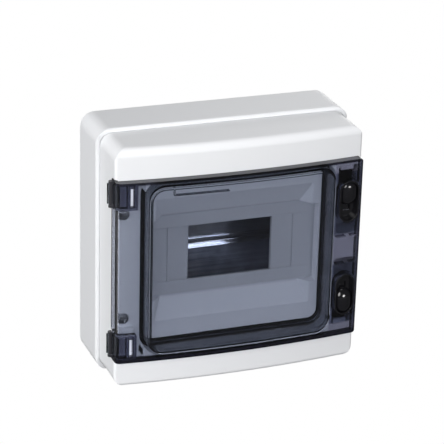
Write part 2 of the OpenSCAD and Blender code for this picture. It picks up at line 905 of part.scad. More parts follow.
// The clamping screws of a terminal bar.
module terminal_screws(side) {
  count = 9;
  color([0.78, 0.79, 0.8])
    for (i = [0 : count - 1])
      translate([(i - (count - 1) / 2) * screw_pitch, 0, 0])
        difference() {
          union() {
            round_bar(0, side * bar_z, 1.7, bar_seat + 4.8, bar_seat + bar_thick + 0.5);
            round_bar(0, side * bar_z, 2.8, bar_seat + bar_thick,
              bar_seat + bar_thick + 2);
          }
          plate(bar_seat + bar_thick + 1, bar_seat + bar_thick + 3)
            translate([0, side * bar_z]) square([6, 0.8], center = true);
        }
}

// The screws through the ends of the terminal bars and their holders.
module holder_screws() {
  top = bar_seat + bar_thick;
  color([0.75, 0.76, 0.78])
    for (x = [-1, 1])
      for (z = [-1, 1])
        difference() {
          union() {
            round_bar(x * leg_x, z * bar_z, 1.5, 1.4, top + 0.5);
            round_bar(x * leg_x, z * bar_z, 2.8, top, top + 2);
          }
          plate(top + 1, top + 3)
            translate([x * leg_x, z * bar_z]) {
              square([3.6, 0.8], center = true);
              square([0.8, 3.6], center = true);
            }
        }
}

base();
rim_seal();
cover();
module_tray();
blank(-1);  // blank_left
blank(1);  // blank_right
door_seal();
door();
hinge(1);  // hinge_upper
hinge(-1);  // hinge_lower
latch_case(1);  // latch_case_upper
latch_case(-1);  // latch_case_lower
latch(1);  // latch_upper
latch(-1);  // latch_lower
cover_screws();
screw_washers();
back_plate();
din_rail();
rail_screws();
bar_holder(1);  // bar_holder_upper
bar_holder(-1);  // bar_holder_lower
terminal_bar(1);  // terminal_bar_upper
terminal_bar(-1);  // terminal_bar_lower
terminal_screws(1);  // terminal_screws_upper
terminal_screws(-1);  // terminal_screws_lower
holder_screws();
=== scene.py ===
# %% [markdown]
# # A weatherproof wall box with a smoked door
#
# The real object is a light grey moulded box that hangs on a wall. A back box carries a
# bowed cover, the cover has a sunk plate with a row of module places, and a smoked
# polycarbonate door closes over it on two hinges and two sliding latches.
#
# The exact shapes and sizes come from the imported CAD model, the frame. This file adds what
# the eye needs on top: finishes, screws with real heads, knobs with soft edges, light.

import bmesh
import bpy
import math
from mathutils import Matrix, Vector


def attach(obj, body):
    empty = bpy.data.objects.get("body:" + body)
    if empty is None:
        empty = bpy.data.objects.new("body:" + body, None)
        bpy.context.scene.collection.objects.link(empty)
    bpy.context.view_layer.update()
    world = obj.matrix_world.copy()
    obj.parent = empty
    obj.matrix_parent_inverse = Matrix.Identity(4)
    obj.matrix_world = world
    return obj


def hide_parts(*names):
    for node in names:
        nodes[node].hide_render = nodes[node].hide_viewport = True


MM = 0.001

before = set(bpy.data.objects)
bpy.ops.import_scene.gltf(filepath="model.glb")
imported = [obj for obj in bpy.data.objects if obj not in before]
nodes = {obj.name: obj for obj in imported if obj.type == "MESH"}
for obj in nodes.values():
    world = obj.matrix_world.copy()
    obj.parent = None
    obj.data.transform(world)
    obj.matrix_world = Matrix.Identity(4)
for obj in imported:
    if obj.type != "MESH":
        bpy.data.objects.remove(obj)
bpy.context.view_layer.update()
print("CAD nodes:", len(nodes))

# %% [markdown]
# ## Camera
#
# The box is seen from the upper left through a long lens, about 1.7 m away, so that its
# edges stay almost parallel. A camera's own axes are right, up and backwards, so the three
# directions go straight into a rotation matrix. This is easier to trust than three angles.

# %% The camera
camera_place = Vector((-0.551146, -1.502239, 0.656367))
camera_right = Vector((0.93874, -0.34367, 0.02556))
camera_up = Vector((0.10872, 0.36573, 0.92435))
camera_back = Vector((-0.32702, -0.86495, 0.38069))

camera = bpy.data.objects.new("camera", bpy.data.cameras.new("camera"))
bpy.context.scene.collection.objects.link(camera)
turn = Matrix((camera_right, camera_up, camera_back)).transposed().to_4x4()
camera.matrix_world = Matrix.Translation(camera_place) @ turn
camera.data.lens = 167.17
camera.data.sensor_width = 36
camera.data.clip_end = 60
bpy.context.scene.camera = camera
print("camera distance (m):", round(camera_place.length, 3))

# %% [markdown]
# ## Floor and light
#
# A product like this is shot on a white light table. Here the table's white is for the
# camera alone, and to all other rays it is dark grey, so it lights the box very little.
# No shadow shows on it. One wide soft lamp stands in front, a second at the left, and a
# weaker one at the back keeps the far sides readable. The top gets less light than the front.

# %% Helpers for stage and lamps
def new_material(name):
    """A material with an empty tree but for its output and one Principled shader."""
    material = bpy.data.materials.new(name)
    material.use_nodes = True
    return material, material.node_tree, material.node_tree.nodes["Principled BSDF"]


def soft_lamp(name, place, size, watts, aim=(0, -0.05, 0)):
    """A round area lamp that looks at a point."""
    lamp = bpy.data.lights.new(name, "AREA")
    lamp.shape = "DISK"
    lamp.size = size
    lamp.energy = watts
    holder = bpy.data.objects.new(name, lamp)
    bpy.context.scene.collection.objects.link(holder)
    holder.location = place
    direction = Vector(aim) - Vector(place)
    holder.rotation_euler = direction.to_track_quat("-Z", "Y").to_euler()


# %% The light table
FLOOR_Z = -0.1052
FLOOR_HALF = 8
floor_mesh = bpy.data.meshes.new("light_table")
corners = [(-1, -1), (1, -1), (1, 1), (-1, 1)]
floor_mesh.from_pydata(
    [(x * FLOOR_HALF, y * FLOOR_HALF, FLOOR_Z) for x, y in corners], [], [(0, 1, 2, 3)]
)
floor = bpy.data.objects.new("light_table", floor_mesh)
bpy.context.scene.collection.objects.link(floor)
floor_material, floor_tree, floor_shader = new_material("light_table")
floor_shader.inputs["Base Color"].default_value = (0.12, 0.12, 0.122, 1)
floor_shader.inputs["Roughness"].default_value = 0.9
floor_shader.inputs["Specular IOR Level"].default_value = 0.1
seen = floor_tree.nodes.new("ShaderNodeLightPath")
white = floor_tree.nodes.new("ShaderNodeEmission")
table = floor_tree.nodes.new("ShaderNodeMixShader")
floor_tree.links.new(seen.outputs["Is Camera Ray"], table.inputs[0])
floor_tree.links.new(floor_shader.outputs["BSDF"], table.inputs[1])
floor_tree.links.new(white.outputs["Emission"], table.inputs[2])
floor_out = floor_tree.nodes["Material Output"]
floor_tree.links.new(table.outputs["Shader"], floor_out.inputs["Surface"])
floor_mesh.materials.append(floor_material)

# %% Room and lamps
room = bpy.data.worlds.new("studio")
bpy.context.scene.world = room
room.use_nodes = True
room.node_tree.nodes["Background"].inputs["Color"].default_value = (0.97, 0.98, 1, 1)
room.node_tree.nodes["Background"].inputs["Strength"].default_value = 0.08
bpy.context.scene.view_settings.view_transform = "Standard"

soft_lamp("key_lamp", (-1.1, -1.9, 1.1), 1.3, 33)
soft_lamp("left_lamp", (-2.1, -0.7, 0.1), 1.4, 45)
soft_lamp("front_fill", (0.8, -2.4, 0.3), 0.6, 18)
soft_lamp("top_lamp", (0, -0.3, 2.2), 1.2, 16, aim=(0, -0.04, 0))
soft_lamp("back_lamp", (1.4, 2.0, 0.35), 1.4, 16)
print("lamps:", len(bpy.data.lights))

# %% [markdown]
# ## Shared surface effects
#
# Injection-moulded parts are never perfect: the tool leaves a fine grain, corners are
# broken by a few tenths of a millimetre, handling polishes edges and dust settles in the
# grain. Each effect is one node group with named inputs, so that every material can use it
# with its own strength.

# %% Helpers for node trees
def node_group(name, inputs, outputs):
    """A shader node group with its sockets, its input and its output node."""
    group = bpy.data.node_groups.new(name, "ShaderNodeTree")
    for socket_name, kind, value in inputs:
        socket = group.interface.new_socket(socket_name, in_out="INPUT", socket_type=kind)
        socket.default_value = value
    for socket_name, kind in outputs:
        group.interface.new_socket(socket_name, in_out="OUTPUT", socket_type=kind)
    return group, group.nodes.new("NodeGroupInput"), group.nodes.new("NodeGroupOutput")


def add_node(tree, kind, links=None, **settings):
    """A node with its settings; links maps an input's name or number to a value or a socket."""
    node = tree.nodes.new(kind)
    for key, value in settings.items():
        setattr(node, key, value)
    for key, value in (links or {}).items():
        if isinstance(value, bpy.types.NodeSocket):
            tree.links.new(value, node.inputs[key])
        else:
            node.inputs[key].default_value = value
    return node


FLOAT = "NodeSocketFloat"
COLOUR = "NodeSocketColor"
NORMAL = "NodeSocketVector"

# %% Moulded grain: a fine bump over edges that are softened by a bevel
grain_group, grain_in, grain_out = node_group(
    "moulded_grain",
    [
        ("Grain Size", FLOAT, 900.0),
        ("Grain Height", FLOAT, 0.05),
        ("Sink Height", FLOAT, 0.1),
        ("Edge Radius", FLOAT, 0.0005),
    ],
    [("Normal", NORMAL)],
)
where = add_node(grain_group, "ShaderNodeTexCoord")
fine = add_node(
    grain_group,
    "ShaderNodeTexNoise",
    {"Vector": where.outputs["Object"], "Scale": grain_in.outputs["Grain Size"], "Detail": 3.0},
)
slow = add_node(
    grain_group, "ShaderNodeTexNoise", {"Vector": where.outputs["Object"], "Scale": 22.0}
)
edges = add_node(
    grain_group, "ShaderNodeBevel", {"Radius": grain_in.outputs["Edge Radius"]}, samples=4
)
sink = add_node(
    grain_group,
    "ShaderNodeBump",
    {
        "Height": slow.outputs["Fac"],
        "Strength": grain_in.outputs["Sink Height"],
        "Distance": 0.0008,
        "Normal": edges.outputs["Normal"],
    },
)
grain = add_node(
    grain_group,
    "ShaderNodeBump",
    {
        "Height": fine.outputs["Fac"],
        "Strength": grain_in.outputs["Grain Height"],
        "Distance": 0.0002,
        "Normal": sink.outputs["Normal"],
    },
)
grain_group.links.new(grain.outputs["Normal"], grain_out.inputs["Normal"])

# %% Edge wear: a mask that is 1 where an edge bends away from the flat face
wear_group, wear_in, wear_out = node_group(
    "edge_wear", [("Radius", FLOAT, 0.0006), ("Patches", FLOAT, 60.0)], [("Mask", FLOAT)]
)
where = add_node(wear_group, "ShaderNodeTexCoord")
facing = add_node(wear_group, "ShaderNodeNewGeometry")
rounded = add_node(
    wear_group, "ShaderNodeBevel", {"Radius": wear_in.outputs["Radius"]}, samples=4
)
alike = add_node(
    wear_group,
    "ShaderNodeVectorMath",
    {0: rounded.outputs["Normal"], 1: facing.outputs["Normal"]},
    operation="DOT_PRODUCT",
)
bend = add_node(
    wear_group,
    "ShaderNodeMapRange",
    {"Value": alike.outputs["Value"], "From Min": 0.995, "From Max": 0.86},
)
patches = add_node(
    wear_group,
    "ShaderNodeTexNoise",
    {"Vector": where.outputs["Object"], "Scale": wear_in.outputs["Patches"], "Detail": 4.0},
)
broken = add_node(
    wear_group,
    "ShaderNodeMapRange",
    {"Value": patches.outputs["Fac"], "From Min": 0.42, "From Max": 0.62},
)
mask = add_node(
    wear_group, "ShaderNodeMath", {0: bend.outputs[0], 1: broken.outputs[0]}, operation="MULTIPLY"
)
wear_group.links.new(mask.outputs[0], wear_out.inputs["Mask"])

# %% Handling: slow, cloudy change in gloss and a breath of dust in the colour
dust_group, dust_in, dust_out = node_group(
    "handling_and_dust",
    [
        ("Colour", COLOUR, (0.8, 0.8, 0.8, 1)),
        ("Dust Colour", COLOUR, (0.62, 0.6, 0.56, 1)),
        ("Dust", FLOAT, 0.06),
        ("Roughness", FLOAT, 0.4),
        ("Smears", FLOAT, 0.1),
    ],
    [("Colour", COLOUR), ("Roughness", FLOAT)],
)
where = add_node(dust_group, "ShaderNodeTexCoord")
clouds = add_node(
    dust_group,
    "ShaderNodeTexNoise",
    {"Vector": where.outputs["Object"], "Scale": 14.0, "Detail": 5.0, "Roughness": 0.6},
)
specks = add_node(
    dust_group,
    "ShaderNodeTexNoise",
    {"Vector": where.outputs["Object"], "Scale": 420.0, "Detail": 2.0},
)
both = add_node(
    dust_group, "ShaderNodeMath",
    {0: clouds.outputs["Fac"], 1: specks.outputs["Fac"]}, operation="MULTIPLY",
)
amount = add_node(
    dust_group, "ShaderNodeMath",
    {0: both.outputs[0], 1: dust_in.outputs["Dust"]}, operation="MULTIPLY",
)
dusty = add_node(
    dust_group,
    "ShaderNodeMix",
    {"Factor": amount.outputs[0], 6: dust_in.outputs["Colour"], 7: dust_in.outputs["Dust Colour"]},
    data_type="RGBA",
)
swing = add_node(
    dust_group, "ShaderNodeMath", {0: clouds.outputs["Fac"], 1: -0.5}, operation="ADD"
)
gloss = add_node(
    dust_group,
    "ShaderNodeMath",
    {0: swing.outputs[0], 1: dust_in.outputs["Smears"], 2: dust_in.outputs["Roughness"]},
    operation="MULTIPLY_ADD",
)
dust_group.links.new(dusty.outputs[2], dust_out.inputs["Colour"])
dust_group.links.new(gloss.outputs[0], dust_out.inputs["Roughness"])
print("surface effects:", [g.name for g in bpy.data.node_groups])

# %% [markdown]
# ## Opaque materials
#
# One helper joins the three effects to a Principled shader. Constant numbers stay on the
# shader's own sockets; only what changes over the surface comes from the groups.

# %% The helper for moulded and metal finishes
def finish(name, colour, roughness, worn=None, dust=0.06, smears=0.1, grain=0.05, grain_size=900.0,
           sink=0.1, edge=0.0005, metallic=0.0, specular=0.5):
    """A finish with grain, softened and worn edges, smears and dust."""
    material, tree, shader = new_material(name)
    normal = add_node(tree, "ShaderNodeGroup", node_tree=grain_group)
    normal.inputs["Grain Size"].default_value = grain_size
    normal.inputs["Grain Height"].default_value = grain
    normal.inputs["Sink Height"].default_value = sink
    normal.inputs["Edge Radius"].default_value = edge
    wear = add_node(tree, "ShaderNodeGroup", node_tree=wear_group)
    wear.inputs["Radius"].default_value = edge * 1.4
    tint = add_node(
        tree,
        "ShaderNodeMix",
        {"Factor": wear.outputs["Mask"], 6: (*colour, 1), 7: (*(worn or colour), 1)},
        data_type="RGBA",
    )
    handled = add_node(tree, "ShaderNodeGroup", node_tree=dust_group)
    tree.links.new(tint.outputs[2], handled.inputs["Colour"])
    handled.inputs["Dust"].default_value = dust
    handled.inputs["Roughness"].default_value = roughness
    handled.inputs["Smears"].default_value = smears
    tree.links.new(handled.outputs["Colour"], shader.inputs["Base Color"])
    tree.links.new(handled.outputs["Roughness"], shader.inputs["Roughness"])
    tree.links.new(normal.outputs["Normal"], shader.inputs["Normal"])
    shader.inputs["Metallic"].default_value = metallic
    shader.inputs["Specular IOR Level"].default_value = specular
    return material


# %% The plastics, the rubber and the metals
shell_plastic = finish(
    "light_grey_plastic", (0.79, 0.8, 0.82), 0.46, worn=(0.85, 0.855, 0.87), specular=0.32
)
back_plastic = finish(
    "back_box_plastic", (0.765, 0.775, 0.795), 0.48, worn=(0.82, 0.825, 0.84), specular=0.32
)
tray_plastic = finish(
    "tray_plastic", (0.8, 0.81, 0.83), 0.42, worn=(0.86, 0.865, 0.88), specular=0.35
)
black_plastic = finish(
    "black_gloss_plastic", (0.006, 0.006, 0.008), 0.12, worn=(0.03, 0.03, 0.034), dust=0.012,
    smears=0.06, grain=0.01, sink=0.06, edge=0.0004,
)
hinge_plastic = finish(
    "dark_hinge_plastic", (0.022, 0.022, 0.027), 0.3, worn=(0.07, 0.07, 0.08), dust=0.04,
    edge=0.0003,
)
rubber = finish(
    "black_seal_rubber", (0.006, 0.006, 0.007), 0.7, dust=0.03, grain=0.2, grain_size=1500.0,
    edge=0.0006, specular=0.15,
)
foam = finish(
    "grey_foam_cord", (0.7, 0.705, 0.71), 0.85, dust=0.1, grain=0.5, grain_size=1100.0,
    edge=0.0006, specular=0.2,
)
screw_metal = finish(
    "zinc_plated_steel", (0.62, 0.62, 0.64), 0.26, worn=(0.75, 0.75, 0.76), metallic=1.0,
    grain=0.06, grain_size=1600.0, edge=0.00015, dust=0.04,
)
rail_metal = finish(
    "galvanised_rail", (0.55, 0.56, 0.58), 0.22, worn=(0.7, 0.7, 0.71), metallic=1.0,
    grain=0.03, grain_size=700.0, sink=0.1, edge=0.0002, smears=0.2,
)
# Its own colour is replaced below by the streak pair, whose near-black is painted shade.
steel_sheet = finish(
    "dull_steel_sheet", (0.16, 0.165, 0.185), 0.42, worn=(0.5, 0.5, 0.52), metallic=0.3,
    grain=0.1, grain_size=900.0, sink=0.5, edge=0.0003, smears=0.3,
)
brass = finish(
    "terminal_brass", (0.75, 0.55, 0.26), 0.28, worn=(0.88, 0.7, 0.4), metallic=1.0,
    grain=0.05, grain_size=1200.0, edge=0.0003,
)
blue_plastic = finish("holder_blue", (0.03, 0.11, 0.36), 0.38, worn=(0.1, 0.2, 0.45))
green_plastic = finish("holder_green", (0.04, 0.26, 0.08), 0.38, worn=(0.12, 0.36, 0.16))
print("finishes:", len(bpy.data.materials))

# %% [markdown]
# ## Streaks and painted shade on the sheet metal
#
# Sheet steel comes off the mill with long streaks along the rolling direction. A noise that
# is stretched along X and squeezed across gives such streaks, and they change the colour of
# the metal from nearly black to bright. The rail and the plate behind it lie in the dark and
# mirror only a little light. The near-black ground, most of all on the plate, is painted
# shade for that dark. The bright streaks are partly mill marks and partly painted reflection.
# A ramp along X fades them towards the right end. The fade is painted reflection too. It is
# chosen so that the rail's mirrored streak thins out to the right, and it stands for no known
# property.

# %% A streak mask along X, and its use on both sheets
streak_group, streak_in, streak_out = node_group(
    "streaks_and_painted_fade",
    [("Along", FLOAT, 9.0), ("Across", FLOAT, 420.0), ("Contrast", FLOAT, 0.16)],
    [("Mask", FLOAT)],
)
where = add_node(streak_group, "ShaderNodeTexCoord")
axes = add_node(streak_group, "ShaderNodeSeparateXYZ", {0: where.outputs["Object"]})
along = add_node(
    streak_group, "ShaderNodeMath",
    {0: axes.outputs["X"], 1: streak_in.outputs["Along"]}, operation="MULTIPLY",
)
across = add_node(
    streak_group, "ShaderNodeMath",
    {0: axes.outputs["Z"], 1: streak_in.outputs["Across"]}, operation="MULTIPLY",
)
stretched = add_node(
    streak_group, "ShaderNodeCombineXYZ", {"X": along.outputs[0], "Z": across.outputs[0]}
)
lines = add_node(
    streak_group, "ShaderNodeTexNoise",
    {"Vector": stretched.outputs[0], "Scale": 1.0, "Detail": 5.0, "Roughness": 0.65},
)
blotches = add_node(
    streak_group, "ShaderNodeTexNoise",
    {"Vector": where.outputs["Object"], "Scale": 38.0, "Detail": 3.0},
)
joined = add_node(
    streak_group, "ShaderNodeMath",
    {0: lines.outputs["Fac"], 1: blotches.outputs["Fac"]}, operation="MULTIPLY",
)
low = add_node(
    streak_group, "ShaderNodeMath",
    {0: 0.26, 1: streak_in.outputs["Contrast"]}, operation="SUBTRACT",
)
high = add_node(
    streak_group, "ShaderNodeMath",
    {0: 0.26, 1: streak_in.outputs["Contrast"]}, operation="ADD",
)
streaks = add_node(
    streak_group, "ShaderNodeMapRange",
    {"Value": joined.outputs[0], "From Min": low.outputs[0], "From Max": high.outputs[0]},
)
# A painted fade: from X = 0 to 40 mm the streaks dim to a quarter, which thins the rail's mirrored
# streak out to the right.
right_fade = add_node(
    streak_group, "ShaderNodeMapRange",
    {"Value": axes.outputs["X"], "From Min": 0.04, "From Max": 0.0, "To Min": 0.25},
)
faded_streaks = add_node(
    streak_group, "ShaderNodeMath",
    {0: streaks.outputs[0], 1: right_fade.outputs[0]}, operation="MULTIPLY",
)
streak_group.links.new(faded_streaks.outputs[0], streak_out.inputs["Mask"])

# Colour pairs from dark to bright. The plate's near-black is painted shade for the dark inside
# that it mirrors, and the bright ends are partly painted reflection.
for metal, dark, bright in (
    (rail_metal, (0.55, 0.57, 0.66), (0.97, 0.98, 1.0)),
    (steel_sheet, (0.1, 0.112, 0.165), (0.8, 0.85, 0.98)),
):
    tree = metal.node_tree
    handled = next(n for n in tree.nodes if n.type == "GROUP" and n.node_tree == dust_group)
    mask = add_node(tree, "ShaderNodeGroup", node_tree=streak_group)
    sheet = add_node(
        tree, "ShaderNodeMix",
        {"Factor": mask.outputs["Mask"], 6: (*dark, 1), 7: (*bright, 1)}, data_type="RGBA",
    )
    tree.links.new(sheet.outputs[2], handled.inputs["Colour"])
print("streaked metals:", rail_metal.name, steel_sheet.name)

# %% [markdown]
# ## Painted shade on the tray's plate
#
# The flat module plate is coloured darker than the slopes round it. This is painted shade:
# the sunk plate gets less light, and its colour stands in for that. Why isn't known: a
# rougher tool face would do it, and so would plain shade. The colour steps down at the
# plate's depth.

# %% Painted shade on the plate, found by its depth in the piece
PLATE_FRONT, SLOPE_START = -0.0632, -0.0640
# A darker colour for the plate: painted shade, not a different plastic.
PLATE_SHADE_COLOUR = (0.6, 0.605, 0.62, 1)
tree = tray_plastic.node_tree
handled = next(n for n in tree.nodes if n.type == "GROUP" and n.node_tree == dust_group)
polished = handled.inputs["Colour"].links[0].from_socket
where = add_node(tree, "ShaderNodeTexCoord")
axes = add_node(tree, "ShaderNodeSeparateXYZ", {0: where.outputs["Object"]})
plate_shade_share = add_node(
    tree, "ShaderNodeMapRange",
    {"Value": axes.outputs["Y"], "From Min": SLOPE_START, "From Max": PLATE_FRONT},
)
shaded = add_node(
    tree, "ShaderNodeMix",
    {"Factor": plate_shade_share.outputs[0], 6: polished, 7: PLATE_SHADE_COLOUR}, data_type="RGBA",
)
tree.links.new(shaded.outputs[2], handled.inputs["Colour"])

# %% [markdown]
# ## Smoked polycarbonate
#
# The door is tinted right through, so the colour belongs to the light that passes, not to
# the surface. Where the wall stands on edge the light crosses far more plastic and the rim
# looks nearly black. A smooth glass shader with a plain tint does the flat parts, and the
# tint darkens towards the rim by the piece's own coordinates. Six bands on top of that are
# matched. Two of them stand in for thick walls and partly for painted shade that the lamps
# don't give: the right edge, and the upper and lower walls. The strip along the right and the
# surround of the latches are painted shade. The lit left edge is painted light. The band over
# each hinge block is a deeper tint. Lamps would not reach the cover through smooth glass, so
# shadow rays meet a pale transparent shader instead.

# %% How deep the tint is, by place on the door
tint_group, tint_in, tint_out = node_group(
    "tint_by_depth",
    [
        ("Thin Colour", COLOUR, (0.330, 0.350, 0.392, 1)),
        ("Deep Colour", COLOUR, (0.04, 0.04, 0.07, 1)),
        ("Low Edge", FLOAT, -0.0715),
        ("High Edge", FLOAT, 0.073),
        ("Fade", FLOAT, 0.003),
    ],
    [("Colour", COLOUR)],
)
where = add_node(tint_group, "ShaderNodeTexCoord")
axes = add_node(tint_group, "ShaderNodeSeparateXYZ", {0: where.outputs["Object"]})
above = add_node(
    tint_group, "ShaderNodeMath",
    {0: axes.outputs["Z"], 1: tint_in.outputs["High Edge"]}, operation="SUBTRACT",
)
below = add_node(
    tint_group, "ShaderNodeMath",
    {0: tint_in.outputs["Low Edge"], 1: axes.outputs["Z"]}, operation="SUBTRACT",
)
beyond = add_node(
    tint_group, "ShaderNodeMath", {0: above.outputs[0], 1: below.outputs[0]}, operation="MAXIMUM"
)
share = add_node(
    tint_group, "ShaderNodeMath",
    {0: beyond.outputs[0], 1: tint_in.outputs["Fade"]}, operation="DIVIDE", use_clamp=True,
)
depth_tint = add_node(
    tint_group, "ShaderNodeMix",
    {
        "Factor": share.outputs[0],
        6: tint_in.outputs["Thin Colour"],
        7: tint_in.outputs["Deep Colour"],
    },
    data_type="RGBA",
)
tint_group.links.new(depth_tint.outputs[2], tint_out.inputs["Colour"])

# %% A mask for an upright band: 1 inside a range of X and a range of height above or below
band_group, band_in, band_out = node_group(
    "band_mask",
    [
        ("X Low", FLOAT, -1.0),
        ("X High", FLOAT, 1.0),
        ("Z Low", FLOAT, -1.0),
        ("Z High", FLOAT, 1.0),
        ("Soft", FLOAT, 0.001),
    ],
    [("Mask", FLOAT)],
)
where = add_node(band_group, "ShaderNodeTexCoord")
axes = add_node(band_group, "ShaderNodeSeparateXYZ", {0: where.outputs["Object"]})
height = add_node(
    band_group, "ShaderNodeMath", {0: axes.outputs["Z"]}, operation="ABSOLUTE"
)
inside = None
for high, low in (
    (axes.outputs["X"], band_in.outputs["X Low"]),
    (band_in.outputs["X High"], axes.outputs["X"]),
    (height.outputs[0], band_in.outputs["Z Low"]),
    (band_in.outputs["Z High"], height.outputs[0]),
):
    past = add_node(band_group, "ShaderNodeMath", {0: high, 1: low}, operation="SUBTRACT")
    ramp = add_node(
        band_group, "ShaderNodeMath",
        {0: past.outputs[0], 1: band_in.outputs["Soft"]}, operation="DIVIDE", use_clamp=True,
    )
    if inside is None:
        inside = ramp
    else:
        inside = add_node(
            band_group, "ShaderNodeMath",
            {0: inside.outputs[0], 1: ramp.outputs[0]}, operation="MULTIPLY",
        )
band_group.links.new(inside.outputs[0], band_out.inputs["Mask"])

# %% The smoked material
SHADOW_RAY_TINT = (0.72, 0.73, 0.77, 1)
smoked, tree, shader = new_material("smoked_polycarbonate")
tint = add_node(tree, "ShaderNodeGroup", node_tree=tint_group)
colour = tint.outputs["Colour"]
# Painted shade on the right strip and round the latches, and painted light on the left edge. The
# right edge and the walls are thick plastic and partly painted shade.
TINT_AND_SHADE_BANDS = {
    "shaded_right_strip": ((0.0775, 0.12, -1.0, 1.0), 0.0012, (0.235, 0.235, 0.285)),
    "shaded_latch_surround": ((0.0775, 0.101, 0.0125, 0.067), 0.0012, (0.10, 0.11, 0.155)),
    "right_edge": ((0.1003, 0.12, -1.0, 1.0), 0.0004, (0.05, 0.05, 0.07)),
    "hinge_block": ((-0.1025, -0.0875, 0.0535, 0.0755), 0.0006, (0.085, 0.09, 0.13)),
    "lit_left_edge": ((-0.11, -0.1022, -1.0, 0.0535), 0.0004, (0.62, 0.63, 0.66)),
    "lower_and_upper_walls": ((-1.0, 1.0, 0.0741, 1.0), 0.0004, (0.02, 0.02, 0.03)),
}

for place, (limits, soft, band_colour) in TINT_AND_SHADE_BANDS.items():
    band = add_node(tree, "ShaderNodeGroup", node_tree=band_group, label=place)
    for socket_name, value in zip(("X Low", "X High", "Z Low", "Z High"), limits):
        band.inputs[socket_name].default_value = value
    band.inputs["Soft"].default_value = soft
    step = add_node(
        tree, "ShaderNodeMix",
        {"Factor": band.outputs["Mask"], 6: colour, 7: (*band_colour, 1)}, data_type="RGBA",
    )
    colour = step.outputs[2]
tree.links.new(colour, shader.inputs["Base Color"])
shader.inputs["Roughness"].default_value = 0.015
shader.inputs["IOR"].default_value = 1.5
shader.inputs["Transmission Weight"].default_value = 1.0
path = add_node(tree, "ShaderNodeLightPath")
pale = add_node(tree, "ShaderNodeBsdfTransparent", {"Color": SHADOW_RAY_TINT})
blend = add_node(
    tree, "ShaderNodeMixShader",
    {0: path.outputs["Is Shadow Ray"], 1: shader.outputs["BSDF"], 2: pale.outputs["BSDF"]},
)
output = tree.nodes["Material Output"]
tree.links.new(blend.outputs["Shader"], output.inputs["Surface"])

# %% [markdown]
# ## Finishes on the CAD parts
#
# The moulded shells and the bars are plain prisms and shells that the CAD already gives
# exactly, so they keep their meshes and only receive a finish.

# %% Give every carried-over node its finish
node_finish = {
    "base": back_plastic, "cover": shell_plastic, "blank_left": tray_plastic,
    "blank_right": tray_plastic, "module_tray": tray_plastic,
    "rim_seal": foam, "door_seal": rubber, "door": smoked,
    "hinge_upper": hinge_plastic, "hinge_lower": hinge_plastic,
    "latch_case_upper": black_plastic, "latch_case_lower": black_plastic,
    "latch_upper": black_plastic, "latch_lower": black_plastic,
    "cover_screws": screw_metal, "screw_washers": rubber, "back_plate": steel_sheet,
    "din_rail": rail_metal,
    "rail_screws": screw_metal, "bar_holder_upper": blue_plastic,
    "bar_holder_lower": green_plastic, "terminal_bar_upper": brass,
    "terminal_bar_lower": brass, "terminal_screws_upper": screw_metal,
    "terminal_screws_lower": screw_metal, "holder_screws": screw_metal,
}
for name, material in node_finish.items():
    nodes[name].data.materials.clear()
    nodes[name].data.materials.append(material)
print("nodes with a finish:", len(node_finish))

# %% [markdown]
# ## Helpers for turned and stacked shapes
#
# Screws and knobs are stacks of rings. One helper skins a stack of closed rings with quads
# and closes both ends, so every such piece comes out watertight with outward normals. A
# ring is a list of points in X, depth and Z, in millimetres.

# %% Rings and stacks
def oval_ring(x, z, radius, straight, depth, count=48):
    """Points round an upright oval: two half circles joined by straight sides."""
    ring = []
    for step in range(count):
        angle = 2 * math.pi * (step + 0.5) / count
        lift = straight / 2 if math.sin(angle) > 0 else -straight / 2
        ring.append((x + radius * math.cos(angle), depth, z + radius * math.sin(angle) + lift))
    return ring


def stack_mesh(bm, rings):
    """Skin a stack of rings and close both ends."""
    rows = [[bm.verts.new((x * MM, -d * MM, z * MM)) for x, d, z in ring] for ring in rings]
    count = len(rows[0])
    for lower, upper in zip(rows, rows[1:]):
        for i in range(count):
            j = (i + 1) % count
            bm.faces.new((lower[i], lower[j], upper[j], upper[i]))
    bm.faces.new(rows[0][::-1])
    bm.faces.new(rows[-1])


def to_object(name, bm, material, smooth_angle=35):
    """Finish a mesh: outward normals, smooth shading that breaks at sharp edges."""
    bmesh.ops.recalc_face_normals(bm, faces=bm.faces[:])
    for face in bm.faces:
        face.smooth = True
    for edge in bm.edges:
        edge.smooth = edge.calc_face_angle(0) < math.radians(smooth_angle)
    mesh = bpy.data.meshes.new(name)
    bm.to_mesh(mesh)
    bm.free()
    mesh.materials.append(material)
    piece = bpy.data.objects.new(name, mesh)
    bpy.context.scene.collection.objects.link(piece)
    return piece


def block_mesh(bm, x0, x1, d0, d1, z0, z1):
    """A plain block between two corners, in millimetres."""
    ring = [(x0, z0), (x1, z0), (x1, z1), (x0, z1)]
    stack_mesh(bm, [[(x, d, z) for x, z in ring] for d in (d0, d1)])


# %% [markdown]
# ## The rail, bent from sheet
#
# A top-hat rail is rolled from 1 mm steel, so its corners are round and its lips are never
# quite flat. The lower lip bends forward a little more towards the left end. There it
# mirrors the front lamp as a bright streak that thins out to the right.

# %% The middle of the rail's sheet, as a line in depth and height
RAIL_HALF = 75
WEB_DEPTH = 9.0
LIP_DEPTH = 15.5
WALL_Z = 13.0
BEND = 0.8
LIP_LENGTH = 3.7
SHEET_HALF = 0.5


def lip_tilt(x):
    """Slope of the lower lip at its root: steep at the left, none from 21 mm on."""
    return max(-0.02, min(0.19, 0.19 * (21 - x) / 13))


